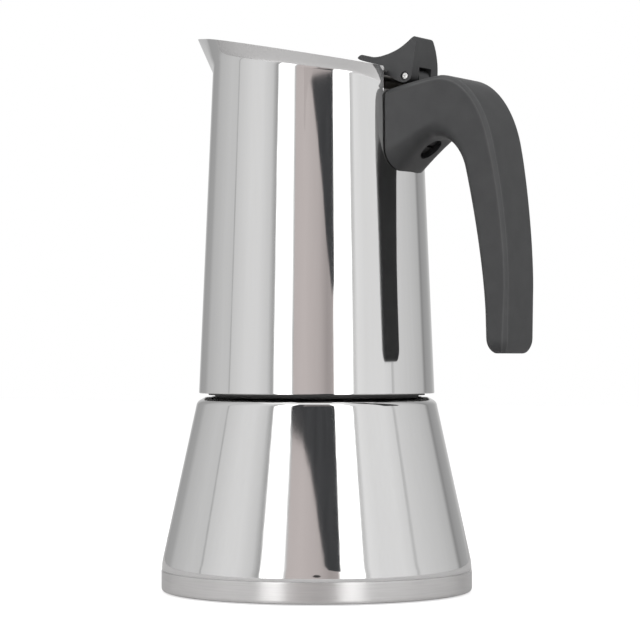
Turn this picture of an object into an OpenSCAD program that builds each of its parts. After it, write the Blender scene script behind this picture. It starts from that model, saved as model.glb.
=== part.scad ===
// Stovetop coffee maker: boiler, funnel, screw-on collector with handle and hinged lid.
// Millimetres. +Z up, origin on the axis at the base underside, handle toward +X, spout toward -X.

/* [Base and boiler] */
// Radius of the base band
base_r = 52; // [46:0.5:58]
// Height of the base band
base_h = 7; // [5:0.5:10]
// Wall of the base pan
pan_t = 0.8; // [0.6:0.1:1.2]
// Sheet thickness of the boiler and the collector
body_t = 0.9; // [0.7:0.1:1.2]
// Height of the boiler cone above the band
cone_h = 52.5; // [46:0.5:60]
// Slope of the boiler wall, degrees from vertical
boiler_slope = 12.3; // [8:0.1:14]
// Height of the rounded shoulder above the cone
shoulder_h = 5.4; // [4:0.2:8]
// Height of the neck above the shoulder
neck_h = 11; // [10.6:0.1:13]
// Outer radius of the neck tube
neck_r = 34.2; // [32:0.1:34.6]

/* [Thread] */
// Pitch of the thread that joins boiler and collector
pitch = 3; // [2.6:0.1:3.4]
// Turns of each thread ridge
thread_turns = 1.25; // [1:0.05:1.35]
// Height of a thread ridge above its ring
ridge_h = 1.1; // [0.9:0.05:1.3]
// Radial gap between ridge crest and the facing ring
thread_gap = 0.6; // [0.5:0.05:0.8]
// Thickness of the neck ring
neck_ring_t = 1.1; // [0.9:0.1:1.4]

/* [Collector] */
// Gap between the shoulder and the collector's lower edge
skirt_gap = 1.1; // [0.4:0.1:3]
// Outer radius at the collector's lower edge
skirt_r = 39.5; // [39:0.1:42]
// Slope of the collector wall, degrees from vertical
wall_slope = 2.43; // [1:0.05:3]
// Height of the rim plane above the lower edge, on the axis
rim_h = 113.15; // [90:0.05:130]
// Fall of the rim from spout to handle, degrees
rim_slope = 10.6; // [6:0.1:14]
// Outer radius of the rim
rim_r = 37.5; // [36.5:0.1:39]
// Height of the flared lip at the sides
lip_h = 4.55; // [3.5:0.05:6]
// Reach of the spout tip from the axis
spout_reach = 47.8; // [44:0.1:54]
// How far down the front the spout's keel starts
spout_drop = 20; // [12:1:26]
// Thickness of the collector floor
floor_t = 1; // [0.8:0.1:1.4]
// Rise of the floor's middle dome
dome_h = 7; // [4:0.5:10]
// Outer radius of the riser column
riser_r = 5.5; // [4.5:0.1:6.5]
// Height of the riser column above the dome
riser_h = 62; // [45:1:70]
// Wall of the riser column and of the funnel stem
tube_t = 0.8; // [0.6:0.1:1.1]
// Height of the column cap
cap_h = 8; // [6:0.5:10]

/* [Filter stack] */
// Thickness of the gasket
gasket_t = 2.8; // [2.4:0.1:3.2]
// Outer radius of the gasket
gasket_r = 35.4; // [35:0.1:35.6]
// Inner radius of the gasket
gasket_bore_r = 27; // [25:0.5:29]
// Thickness of the filter plate and the funnel grid
plate_t = 0.8; // [0.6:0.1:1.1]
// Radius of the filter holes
hole_r = 0.8; // [0.5:0.1:1.1]
// Spacing between the rings of filter holes
hole_step = 5.5; // [4.5:0.1:6]

/* [Funnel] */
// Sheet thickness of the funnel
funnel_t = 0.8; // [0.6:0.1:1]
// Depth of the funnel bowl down to its grid
bowl_h = 21.6; // [16:0.2:26]
// Height of the bowl's conical bottom
bowl_cone_h = 6.2; // [4:0.2:9]
// Gap between the bowl and the neck
bowl_gap = 0.7; // [0.4:0.1:1.2]
// Outer radius of the funnel stem
stem_r = 5; // [4:0.1:6]
// Gap between the stem's end and the boiler floor
stem_gap = 6; // [3:0.5:10]

/* [Safety valve] */
// Height of the safety valve
valve_z = 32; // [26:0.5:40]
// Width across the flats of the valve body
valve_af = 12; // [10:0.5:14]
// Length of the hexagonal head
valve_head = 6; // [5:0.2:8]
// Radius of the valve's threaded shank
valve_shank_r = 4.5; // [4:0.1:5.5]
// Thickness of the valve's sealing washer
washer_t = 1; // [0.8:0.1:1.5]
// Thickness of the nut inside the boiler
nut_t = 3; // [2.5:0.1:4]
// Radius of the plunger's stem
plunger_r = 0.9; // [0.7:0.05:1.1]
// Wire thickness of the valve spring
wire_t = 0.5; // [0.4:0.05:0.6]

/* [Handle] */
// Width of the handle's grip
handle_w = 20; // [17:0.5:23]
// Width of the handle over its crest
crest_w = 22.4; // [21:0.2:25]
// Width of the arm at the wall
arm_w = 26; // [23:0.2:28]
// Inward lean of each side of the arm toward its top at the wall
arm_lean = 1; // [0:0.1:1.5]
// Height of the handle arm at the wall
arm_h = 26.4; // [22:0.2:29]
// How far the top of the arm lies below the rim plane on the axis
arm_drop = 13.95; // [13.55:0.05:16]
// How far the crest of the handle lies below the rim plane
crest_drop = 10.25; // [10.05:0.05:11.2]
// Reach of the grip's back from the axis
grip_reach = 77; // [72:0.5:84]
// Depth of the grip at its lower end
grip_d = 8; // [6.5:0.5:10]
// How far the grip's lower end lies below the rim plane
grip_drop = 99.95; // [85:0.05:105]
// Radius of the handle's outer edges
edge_r = 1.3; // [0.8:0.1:2]
// Radius of the handle's inner edges
inner_edge_r = 1.6; // [1:0.1:2.2]
// Extra softness of the inner edges below the arm
arm_soft = 4.4; // [0:0.1:4.6]
// Height of the rounded end of the grip
tip_h = 5; // [3:0.5:8]
// Radius of the handle screw's shank
screw_r = 2; // [1.5:0.1:2.5]
// Radius of the handle screw's head
screw_head_r = 3.5; // [3:0.1:3.8]
// Reach of the handle screw above the underside of the arm
screw_h = 10; // [8:0.5:10]
// Depth of the recess for the screw's head
screw_sink = 3.6; // [2.6:0.1:4]

/* [Hinge and lid] */
// Distance of the hinge pin from the axis
pin_x = 39; // [38.6:0.1:39.4]
// How far the hinge pin lies below the rim plane
pin_drop = 9.55; // [9.25:0.05:9.85]
// Radius of the hinge pin
pin_r = 1; // [0.8:0.05:1.1]
// Running gap around the hinge pin
pin_gap = 0.08; // [0.05:0.01:0.1]
// Width of the hinge knuckle on the handle
knuckle_w = 7; // [5.5:0.5:8]
// Gap on each side of the knuckle
knuckle_gap = 0.4; // [0.3:0.05:0.6]
// Half width of the lever at its top
lever_top_w = 5.4; // [4.5:0.1:6.5]
// Widening of each side of the lever from its top down to the pin
lever_flare = 3.24; // [1.5:0.02:3.4]
// Height of the thumb rest above the pin
thumb_h = 13.1; // [11:0.1:15]
// Thickness of the lid
lid_t = 0.8; // [0.6:0.1:1]
// Depth of the lid's edge below the rim plane
lid_sink = 1.2; // [0.9:0.05:1.4]
// Rise of the lid's middle
lid_dome = 1.2; // [0.5:0.1:1.6]
// Gap between the lid's edge and the lip
lid_gap = 0.5; // [0.4:0.05:0.9]
// Radius of the rivet that joins lid and lever
rivet_r = 1.5; // [1:0.1:2]

/* [Hidden] */
$fn = 96;
e = 0.01;

// Heights up the axis
cone_z = base_h + cone_h;
shoulder_z = cone_z + shoulder_h;
neck_top = shoulder_z + neck_h;
skirt_z = shoulder_z + skirt_gap;
flange_z = neck_top + funnel_t;
gasket_z = flange_z + gasket_t;
seat_z = gasket_z + plate_t;
dome_z = seat_z + dome_h;
rim_z = skirt_z + rim_h;
split_z = rim_z - 30;
arm_high = rim_z - arm_drop;
arm_low = arm_high - arm_h;
crest_z = rim_z - crest_drop;
grip_low = rim_z - grip_drop;
pin_z = rim_z - pin_drop;

// Boiler wall
foot_r = base_r - 0.15;
cone_foot_z = base_h + 6.4;
cone_foot_r = base_r - 1.05;
function boiler_r(z) = cone_foot_r - (z - cone_foot_z) * tan(boiler_slope);
// Tight turn from the cone to a flatter slope that runs up to the neck
turn_z = shoulder_z - 2.7;
turn_a = [boiler_r(turn_z), turn_z];
turn_b = [boiler_r(turn_z + 0.95), turn_z + 0.95];
turn_c = turn_b + [-1.05, 0.62];
slope_top = [neck_r + 3.1, shoulder_z - 0.2];
function shoulder(k) = k < 0.6 ? let (t = k / 0.6)
        turn_a * (1 - t) * (1 - t) + turn_b * 2 * t * (1 - t) + turn_c * t * t
    : k < 0.8 ? turn_c + (slope_top - turn_c) * (k - 0.6) / 0.2
    : slope_top + ([neck_r, shoulder_z] - slope_top) * (k - 0.8) / 0.2;

// Collector wall and rim
function wall_r(z) = skirt_r - (z - skirt_z) * tan(wall_slope);
function rim_at(x) = rim_z - x * tan(rim_slope);
notch_w = arm_w / 2 + 0.2;
notch_a = asin(notch_w / rim_r);
notch_z = pin_z - 1.3;
function keel(a) = spout_drop * pow(max(0, abs(a) - 110) / 70, 3);
function crease_z(a) = rim_at(wall_r(rim_z) * cos(a)) - lip_h
    + 0.054 * wall_r(rim_z) * cos(a) - keel(a);
spout_b = acos(rim_r / spout_reach);
tip_soft = 3;
function off_tip(a) = sqrt(pow(180 - abs(a), 2) + tip_soft * tip_soft) - tip_soft;
function rim_rad(a) = rim_r / cos(max(0, spout_b - off_tip(a)));
function in_notch(a) = abs(a) < notch_a;

// Thread rings
ring_z = shoulder_z + 0.5;
ring_r = neck_r + neck_ring_t;
bore_r = ring_r + ridge_h + thread_gap;
thread_z = ring_z + 4.1;
neck_ring_h = neck_h - 1;

// Handle curves in the plane of the handle
wall_x = wall_r(arm_high) + 0.05;
arm_len = 18;
grip_in = grip_reach - grip_d;
function bez(a, b, c, d, t) = pow(1 - t, 3) * a + 3 * t * pow(1 - t, 2) * b
    + 3 * t * t * (1 - t) * c + pow(t, 3) * d;
back_a = [wall_x + arm_len, crest_z];
back_b = [grip_reach - 4.6, crest_z - 23.7];
back_c = [grip_reach, grip_low + 18.8];
under_a = [wall_x + 11.6, arm_low + 9.6];
under_b = [wall_x + 26.7, arm_low + 0.2];
under_c = [grip_in, grip_low + 10.8];

// Hinge and lever
lever_k = thumb_h / 13.1;
slot_r = 3.1 * lever_k;
knuckle_r = 2.6 * lever_k;
lever_front = 7.8 * lever_k;
thumb_z = pin_z + thumb_h;
function lever_half(z) = let (u = (thumb_z - z) / thumb_h) lever_top_w + lever_flare * u * (1.7 - 0.7 * u);
ear_half = lever_half(pin_z);
pin_half = ear_half - 0.3;
lid_r = rim_r - 2 - lid_gap;
rivet_x = 27;

// Safety valve, along its own axis with the wall's outside face at 0
valve_r = boiler_r(valve_z);
seat_bore_r = 1.6;
well_r = 3.2;
well_z = 1;
nut_r = valve_af / 2 / cos(30);
nut_seat = body_t + valve_r - body_t - sqrt(pow(valve_r - body_t, 2) - nut_r * nut_r) + 0.02;
plunger_head_r = 2.4;
plunger_head_t = 1.2;
cap_t = 1;
spring_gap = 0.1;

module at_valve() rotate([0, 0, 90]) translate([valve_r, 0, valve_z])
    rotate([0, 90 - boiler_slope, 0]) children();

module at_rim() translate([0, 0, rim_z]) rotate([0, rim_slope, 0]) children();

module ring(ri, ro, z0, z1) difference() {
    translate([0, 0, z0]) cylinder(r = ro, h = z1 - z0);
    translate([0, 0, z0 - 1]) cylinder(r = ri, h = z1 - z0 + 2);
}

// Wedge-shaped ridge along a helix, fading out at both ends
module ridge(rr, rc, z0, turns) {
    n = round(30 * turns);
    s = rc > rr ? 1 : -1;
    root = s > 0 ? rr - 0.2 : rr / cos(6) + 0.2;
    function fade(k) = min(1, k / 3, (n - k) / 3);
    pts = [for (k = [0 : n]) let (a = k * 12 + 5, z = z0 + pitch * k / 30,
        c = rr + (rc - rr) * max(0.05, fade(k)))
        each [[root * cos(a), root * sin(a), z - 0.7],
            [c * cos(a), c * sin(a), z - 0.35], [c * cos(a), c * sin(a), z + 0.35],
            [root * cos(a), root * sin(a), z + 0.7]]];
    side = [for (k = [0 : n - 1], j = [0 : 3]) let (p = 4 * k + j, q = 4 * k + (j + 1) % 4)
        each [[p, q, q + 4], [p, q + 4, p + 4]]];
    ends = [[0, 3, 2], [0, 2, 1], [4 * n, 4 * n + 1, 4 * n + 2], [4 * n, 4 * n + 2, 4 * n + 3]];
    polyhedron(pts, s < 0 ? [for (f = concat(side, ends)) [f[2], f[1], f[0]]]
        : concat(side, ends), 4);
}

// ---- Boiler ----

module boiler_shell() color("silver") difference() {
    rotate_extrude() polygon(concat(
        [[0, base_h], [foot_r, base_h], [foot_r, base_h + 1.2], [cone_foot_r, cone_foot_z]],
        [for (k = [0 : 10]) shoulder(k / 10)], [[neck_r, neck_top], [neck_r - body_t, neck_top]],
        [for (k = [10 : -1 : 0]) shoulder(k / 10) - [body_t, body_t * min(1, k / 6)]],
        [[cone_foot_r - body_t, cone_foot_z], [foot_r - body_t - 0.3, base_h + 2.4],
            [foot_r - body_t - 1.8, base_h + body_t], [0, base_h + body_t]]));
    at_valve() translate([0, 0, -4]) cylinder(r = valve_shank_r, h = 8);
}

module base_pan() color("lightgray") rotate_extrude() polygon([[0, 0], [base_r - 1, 0],
    [base_r - 0.3, 0.3], [base_r, 1], [base_r, base_h], [base_r - pan_t, base_h],
    [base_r - pan_t, pan_t], [0, pan_t]]);

module base_core() color("gainsboro")
    translate([0, 0, pan_t]) cylinder(r = base_r - pan_t, h = base_h - pan_t);

module neck_ring() color("darkgray") {
    ring(neck_r, ring_r, ring_z, ring_z + neck_ring_h);
    ring(neck_r, ring_r + 1, ring_z, ring_z + 0.5);
    ridge(ring_r, ring_r + ridge_h, thread_z, thread_turns);
}

// ---- Safety valve ----

module valve_body() color("goldenrod") at_valve() difference() {
    union() {
        translate([0, 0, washer_t]) rotate([0, 0, 30])
            cylinder(r = nut_r, h = valve_head, $fn = 6);
        translate([0, 0, -nut_seat - nut_t - 0.6])
            cylinder(r = valve_shank_r, h = nut_seat + nut_t + 0.6 + washer_t);
    }
    translate([0, 0, -10]) cylinder(r = seat_bore_r, h = 20);
    translate([0, 0, well_z]) cylinder(r = well_r, h = 20);
}

module valve_washer() color("firebrick") at_valve() ring(valve_shank_r, valve_shank_r + 2.2, 0, washer_t);

module valve_nut() color("peru") at_valve() difference() {
    translate([0, 0, -nut_seat - nut_t]) cylinder(r = nut_r, h = nut_t, $fn = 6);
    translate([0, 0, -10]) cylinder(r = valve_shank_r, h = 20);
}

module valve_cap() color("khaki") at_valve()
    ring(plunger_r + 0.3, well_r, washer_t + valve_head - cap_t, washer_t + valve_head);

module valve_spring() color("dimgray") at_valve() {
    n = 72;
    z0 = well_z + plunger_head_t + wire_t / 2 + spring_gap;
    z1 = washer_t + valve_head - cap_t - wire_t / 2 - spring_gap;
    rm = plunger_head_r - wire_t / 2;
    m = 8;
    pts = [for (k = [0 : n]) let (a = k * 20, z = z0 + (z1 - z0) * k / n) for (j = [0 : m - 1])
        let (r = rm + wire_t / 2 * cos(j * 360 / m))
        [r * cos(a), r * sin(a), z + wire_t / 2 * sin(j * 360 / m)]];
    side = [for (k = [0 : n - 1], j = [0 : m - 1]) let (p = m * k + j, q = m * k + (j + 1) % m)
        each [[p, q, q + m], [p, q + m, p + m]]];
    polyhedron(pts, concat([for (f = side) [f[2], f[1], f[0]]], [[for (j = [0 : m - 1]) j]],
        [[for (j = [m - 1 : -1 : 0]) m * n + j]]), 4);
}

module valve_plunger() color("silver") at_valve() {
    translate([0, 0, well_z]) cylinder(r = plunger_head_r, h = plunger_head_t);
    translate([0, 0, well_z]) cylinder(r = plunger_r, h = valve_head + washer_t - well_z + 1.6);
    translate([0, 0, -1.5]) cylinder(r = seat_bore_r - 0.4, h = 1.5 + well_z);
}

// ---- Funnel ----

bowl_r = neck_r - body_t - bowl_gap;
grid_z = neck_top - bowl_h;
bowl_z = grid_z - bowl_cone_h;

module funnel_bowl() color("lightsteelblue") rotate_extrude() polygon([
    [stem_r, bowl_z], [stem_r + 2.4, bowl_z], [bowl_r, grid_z], [bowl_r, neck_top],
    [ring_r, neck_top], [ring_r, flange_z], [bowl_r - funnel_t, flange_z],
    [bowl_r - funnel_t, grid_z + 0.4], [stem_r + 1.8, bowl_z + funnel_t], [stem_r, bowl_z + funnel_t]]);

module funnel_stem() color("slategray")
    ring(stem_r - tube_t, stem_r, base_h + body_t + stem_gap, bowl_z + funnel_t);

module holes(rings) {
    cylinder(r = hole_r, h = 20, center = true, $fn = 16);
    for (k = [1 : rings], j = [0 : 6 * k - 1]) rotate([0, 0, j * 60 / k])
        translate([k * hole_step, 0, 0]) cylinder(r = hole_r, h = 20, center = true, $fn = 16);
}

module funnel_grid() color("gray") translate([0, 0, grid_z + 0.4]) difference() {
    cylinder(r = bowl_r - funnel_t, h = plate_t);
    holes(4);
}

// ---- Filter stack ----

module gasket() color("ivory") ring(gasket_bore_r, gasket_r, flange_z, gasket_z);

module filter_plate() color("lightgray") translate([0, 0, gasket_z]) difference() {
    cylinder(r = gasket_r - 0.4, h = plate_t);
    holes(4);
}

// ---- Collector ----

angles = concat([for (a = [-180 : 3 : -24]) a], [-notch_a - 0.05, -notch_a + 0.05],
    [for (a = [-17.5 : 3.5 : 17.5]) a], [notch_a - 0.05, notch_a + 0.05],
    [for (a = [24 : 3 : 177]) a]);
function polar(r, a, z) = [r * cos(a), r * sin(a), z];
function lip_top(a) = in_notch(a) ? notch_z : rim_at(rim_rad(a) * cos(a));
function lip_rad(a) = in_notch(a) ? wall_r(notch_z) : rim_rad(a);
function lip_low(a) = in_notch(a) ? notch_z - 1 : crease_z(a);
function section(a) = let (c = lip_low(a), t = lip_top(a), r = lip_rad(a), m = (c + split_z) / 2,
    w = in_notch(a) ? body_t : body_t * 1.1, k = split_z + 0.4) [
    polar(wall_r(split_z) - 0.12, a, split_z - 0.3), polar(wall_r(k), a, k),
    polar(wall_r(m), a, m), polar(wall_r(c), a, c),
    polar(r, a, t), polar(r - w, a, t), polar(wall_r(c) - body_t, a, c + 0.4),
    polar(wall_r(m) - body_t, a, m), polar(wall_r(k) - body_t, a, k),
    polar(wall_r(split_z) - body_t + 0.12, a, split_z - 0.3)];

module collector_shell() color("silver") {
    rotate_extrude() polygon([[wall_r(skirt_z) - body_t, skirt_z], [wall_r(skirt_z), skirt_z],
        [wall_r(split_z), split_z], [wall_r(split_z) - body_t, split_z]]);
    n = len(angles);
    polyhedron([for (a = angles) each section(a)],
        [for (i = [0 : n - 1], j = [0 : 9]) let (p = 10 * i, q = 10 * ((i + 1) % n), k = (j + 1) % 10)
            each [[p + j, p + k, q + k], [p + j, q + k, q + j]]], 4);
}

module collar_ring() color("darkgray") {
    rotate_extrude() polygon([[bore_r, skirt_z + 0.4],
        [wall_r(skirt_z + 0.4) - body_t - 0.04, skirt_z + 0.4],
        [wall_r(seat_z) - body_t - 0.04, seat_z], [bore_r, seat_z]]);
    ridge(bore_r, bore_r - ridge_h, thread_z - pitch / 2, thread_turns);
}

module collector_floor() color("gainsboro") rotate_extrude() polygon([
    [wall_r(seat_z) - body_t - 0.04, seat_z],
    [wall_r(seat_z + floor_t) - body_t - 0.04, seat_z + floor_t],
    [gasket_bore_r - 0.5, seat_z + floor_t], [riser_r + 3, dome_z + floor_t],
    [riser_r, dome_z + floor_t], [riser_r, dome_z], [riser_r + 2.6, dome_z],
    [gasket_bore_r, seat_z]]);

module riser_column() color("silver") ring(riser_r - tube_t, riser_r, dome_z, dome_z + riser_h);

module column_cap() color("lightgray") difference() {
    rotate_extrude() polygon([[0, dome_z + riser_h], [riser_r, dome_z + riser_h],
        [riser_r, dome_z + riser_h - 3], [riser_r + tube_t, dome_z + riser_h - 3],
        [riser_r + tube_t, dome_z + riser_h + cap_h - 5],
        [riser_r - 1, dome_z + riser_h + cap_h - 3], [0, dome_z + riser_h + cap_h - 2.4]]);
    translate([0, 0, dome_z + riser_h - 1]) cylinder(r = riser_r - tube_t, h = cap_h - 3.6);
    for (a = [60, 240]) rotate([0, 0, a]) translate([0, 0, dome_z + riser_h + 1.6])
        rotate([0, 90, 0]) cylinder(r = 1.4, h = riser_r + 4, $fn = 24);
}

// ---- Handle ----

// The screw runs square to the sloping underside of the arm
screw_a = atan2(under_a[1] - arm_low, under_a[0] - wall_x);
screw_c = [wall_x + 8.7, arm_low + 7.2];
screw_head_t = 2.2;
lug_x = wall_x + 7;
lug_z = [arm_low + 11.6, arm_low + 21];
module at_screw() translate([screw_c[0], 0, screw_c[1]]) rotate([0, -screw_a, 0]) children();

module handle_bracket() color("gray") difference() {
    translate([wall_x - 3, -5.5, lug_z[0]])
        cube([lug_x - wall_x + 3, 11, lug_z[1] - lug_z[0]]);
    rotate_extrude() polygon([[0, lug_z[0] - 1], [wall_r(lug_z[0] - 1) + 0.02, lug_z[0] - 1],
        [wall_r(lug_z[1] + 1) + 0.02, lug_z[1] + 1], [0, lug_z[1] + 1]]);
    at_screw() cylinder(r = screw_r, h = 15.5);
}

function back(t) = t < 0.25 ? let (u = t * 4) [wall_x + (back_a[0] - wall_x) * u,
        arm_high + (crest_z - arm_high) * (u * 1.35 - 0.35 * u * u * u)]
    : t < 0.6 ? let (u = (t - 0.25) / 0.35) bez(back_a, back_a + [10, -0.4],
        back_b + [-2.3, 12.6], back_b, u)
    : let (u = (t - 0.6) / 0.4) bez(back_b, back_b + [1.7, -7.7], back_c + [0.5, 17], back_c, u);
function under(t) = t < 0.25 ? let (u = t * 4) [wall_x, arm_low] * (1 - u) + under_a * u
    : t < 0.6 ? let (u = (t - 0.25) / 0.35) bez(under_a, under_a + [3.7, 2.8],
        under_b + [-2.5, 9.2], under_b, u)
    : let (u = (t - 0.6) / 0.4) bez(under_b, under_b + [2.3, -11.5], under_c + [-0.9, 16],
        under_c, u);
// Lower end of the grip, closing in toward a flat tip
function tip(t) = let (z = grip_low + tip_h - tip_h * sin(t * 90), k = 1 - cos(t * 90),
    x = (grip_d - inner_edge_r - edge_r - 0.8) / 2 * k)
    [[grip_in + 0.1 + x, z], [grip_reach - 0.2 - x, z], handle_w / 2 - k * 3, 0];
// Half width of the handle, drawn in from the wall to the crest and on to the grip
function grip_half(t) = let (k = max(0, min(1, (0.95 - t) / 0.45)), m = max(0, 1 - 4 * t))
    (handle_w + (crest_w - handle_w) * k * k * (3 - 2 * k) + (arm_w - crest_w) * m * sqrt(m)) / 2;
function station(t) = [under(t), back(t), grip_half(t), arm_lean * max(0, 1 - 4 * t)];
stations = concat([for (t = [0 : 0.0625 : 0.25]) station(t)],
    [for (t = [0.29 : 0.035 : 0.595]) station(t)],
    [for (t = [0.6 : 0.05 : 1]) station(t)], [for (t = [0 : 0.25 : 1]) tip(t)]);

// One rounded cross-section between an underside point and a back point, softer below the arm
function loop(s, first) = let (u = s[0], v = s[1], d = v - u, l = norm(d),
    h = s[2], g = h - s[3], ro = edge_r,
    ri = inner_edge_r + arm_soft * max(0, min(1, (l - grip_d - 3) / 12)),
    c = [[ri, -h + ri, ri, 180], [l - ro, -g + ro, ro, 270], [l - ro, g - ro, ro, 0],
        [ri, h - ri, ri, 90]])
    [for (q = c, j = [0 : 3]) let (w = q[0] + q[2] * cos(q[3] + j * 30),
        y = q[1] + q[2] * sin(q[3] + j * 30), p = u + d * w / l,
        x = first ? p[0] - 3 : p[0]) [x, y, p[1]]];

module handle_grip() color("dimgray") difference() {
    union() {
        n = len(stations);
        m = 16;
        pts = [for (i = [0 : n - 1]) each loop(stations[i], i == 0)];
        c0 = [wall_x - 3, 0, (arm_low + arm_high) / 2];
        c1 = [(stations[n - 1][0] + stations[n - 1][1])[0] / 2, 0, grip_low];
        side = [for (i = [0 : n - 2], j = [0 : m - 1])
            let (p = m * i + j, q = m * i + (j + 1) % m) each [[p, q, q + m], [p, q + m, p + m]]];
        polyhedron(concat(pts, [c0, c1]), concat(side,
            [for (j = [0 : m - 1]) [n * m, (j + 1) % m, j]],
            [for (j = [0 : m - 1]) [n * m + 1, m * (n - 1) + j, m * (n - 1) + (j + 1) % m]]), 6);
        translate([0, knuckle_w / 2, 0]) rotate([90, 0, 0]) linear_extrude(knuckle_w) {
            translate([pin_x, pin_z]) circle(r = knuckle_r);
            translate([pin_x - knuckle_r, arm_high - 1])
                square([2 * knuckle_r, pin_z - arm_high + 1]);
        }
    }
    translate([pin_x, 0, pin_z]) rotate([90, 0, 0])
        cylinder(r = pin_r, h = handle_w, center = true);
    rotate_extrude() polygon([[0, arm_low - 4], [wall_r(arm_low - 4) + 0.05, arm_low - 4],
        [wall_r(arm_high + 1) + 0.05, arm_high + 1], [0, arm_high + 1]]);
    translate([wall_x - 4, -5.7, lug_z[0] - 0.2])
        cube([lug_x - wall_x + 4.2, 11.4, lug_z[1] - lug_z[0] + 0.4]);
    at_screw() translate([0, 0, -6]) cylinder(r = screw_r + 0.15, h = 21);
    at_screw() translate([0, 0, -6]) cylinder(r = screw_head_r + 0.4, h = 6 + screw_sink);
}

module handle_screw() color("silver") at_screw() difference() {
    union() {
        translate([0, 0, screw_sink - screw_head_t])
            cylinder(r = screw_head_r, h = screw_head_t);
        translate([0, 0, screw_sink]) cylinder(r = screw_r, h = screw_h - screw_sink);
    }
    translate([-0.5, -screw_head_r, screw_sink - screw_head_t - 1])
        cube([1, 2 * screw_head_r, 1.9]);
}

module hinge_pin() color("white") translate([pin_x, 0, pin_z]) rotate([90, 0, 0])
    cylinder(r = pin_r, h = 2 * pin_half, center = true);

// ---- Lid ----

module lid_disc(lift = 0) at_rim() rotate_extrude() polygon(concat(
    [for (k = [0 : 8]) [lid_r * k / 8, lid_dome * (1 - k * k / 64) - lid_sink + lift]],
    [for (k = [8 : -1 : 0]) [lid_r * k / 8, lid_dome * (1 - k * k / 64) - lid_sink - lid_t]]));

module lid_plate() color("lightblue") difference() {
    lid_disc();
    translate([pin_x - lever_front, -ear_half - 0.6, rim_z - 30])
        cube([20, 2 * ear_half + 1.2, 40]);
    at_rim() translate([rivet_x, 0, -5]) cylinder(r = rivet_r, h = 10);
}

// Side view of the lever about the hinge pin, from the thumb tongue round the back to the foot
lever_side = [[-18.4, 7.1], [-17.9, 7.75], [-17.1, 8.05], [-15.8, 7.8], [-13.4, 7.1], [-11.1, 6.95],
    [-8.8, 7.25], [-5.9, 8.05], [-3, 9.35], [-0.6, 11.15], [0.8, 12.5], [1.7, 13.1], [2.4, 12.9],
    [2.8, 12.1], [3.1, 9], [3.1, 5], [2.8, 1.5], [2.4, -0.8], [1.4, -1.65], [0.4, -2.05], [-0.6, -2.1], [-1.7, -1.8], [-3.3, -1.1],
    [-4.9, -0.25], [-6.5, 0.55], [-7.7, 1], [-7.7, 2.95], [-9.2, 3.95], [-13.1, 5.05],
    [-16.3, 5.95], [-17.9, 6.6]];
rivet_at = [rivet_x, 0, lid_dome * (1 - pow(rivet_x / lid_r, 2)) - lid_sink];
rivet_head_r = rivet_r + 1.5;
rivet_low = rivet_at[2] - lid_t - 0.02
    - lid_dome * (pow((rivet_x + rivet_head_r) / lid_r, 2) - pow(rivet_x / lid_r, 2));
module lid_lever() color("dimgray") difference() {
    union() {
        intersection() {
            translate([pin_x, handle_w, pin_z]) rotate([90, 0, 0]) linear_extrude(2 * handle_w)
                polygon(lever_side * lever_k);
            rotate([90, 0, 90]) linear_extrude(1.5 * pin_x) polygon(concat(
                [for (k = [0 : 8]) let (z = thumb_z + thumb_h * (0.08 - k * 0.17)) [lever_half(z), z]],
                [for (k = [8 : -1 : 0]) let (z = thumb_z + thumb_h * (0.08 - k * 0.17))
                    [-lever_half(z), z]]));
        }
        difference() {
            intersection() {
                at_rim() translate(rivet_at - [0, 0, 0.4]) cylinder(r = rivet_r + 2, h = 5);
                translate([rivet_x - 8, -8, pin_z]) cube([16, 16, 6.8 * lever_k]);
            }
            lid_disc(0.01);
        }
    }
    translate([pin_x - slot_r, -knuckle_w / 2 - knuckle_gap, pin_z - 2 * knuckle_r])
        cube([4 * slot_r, knuckle_w + 2 * knuckle_gap, 2 * knuckle_r + slot_r]);
    translate([pin_x, 0, pin_z]) rotate([90, 0, 0]) {
        cylinder(r = pin_r + pin_gap, h = 2 * handle_w, center = true);
        for (s = [-1, 1]) translate([0, 0, s * (ear_half + 1)])
            cylinder(r = pin_r + 0.45, h = 3.2, center = true);
    }
    at_rim() translate([rivet_x, 0, -5]) cylinder(r = rivet_r, h = 6.6);
}

module lid_rivet() color("white") at_rim() translate([rivet_x, 0, rivet_low]) {
    translate([0, 0, -0.8]) cylinder(r = rivet_head_r, h = 0.8);
    translate([0, 0, -0.1]) cylinder(r = rivet_r, h = 1.6 - rivet_low + 0.1);
}

boiler_shell();
base_pan();
base_core();
neck_ring();
valve_body();
valve_washer();
valve_nut();
valve_cap();
valve_spring();
valve_plunger();
funnel_bowl();
funnel_stem();
funnel_grid();
gasket();
filter_plate();
collector_shell();
collector_floor();
collar_ring();
riser_column();
column_cap();
handle_bracket();
handle_grip();
handle_screw();
hinge_pin();
lid_plate();
lid_lever();
lid_rivet();
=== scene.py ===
import math

import bpy
from mathutils import Matrix, Vector


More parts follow.
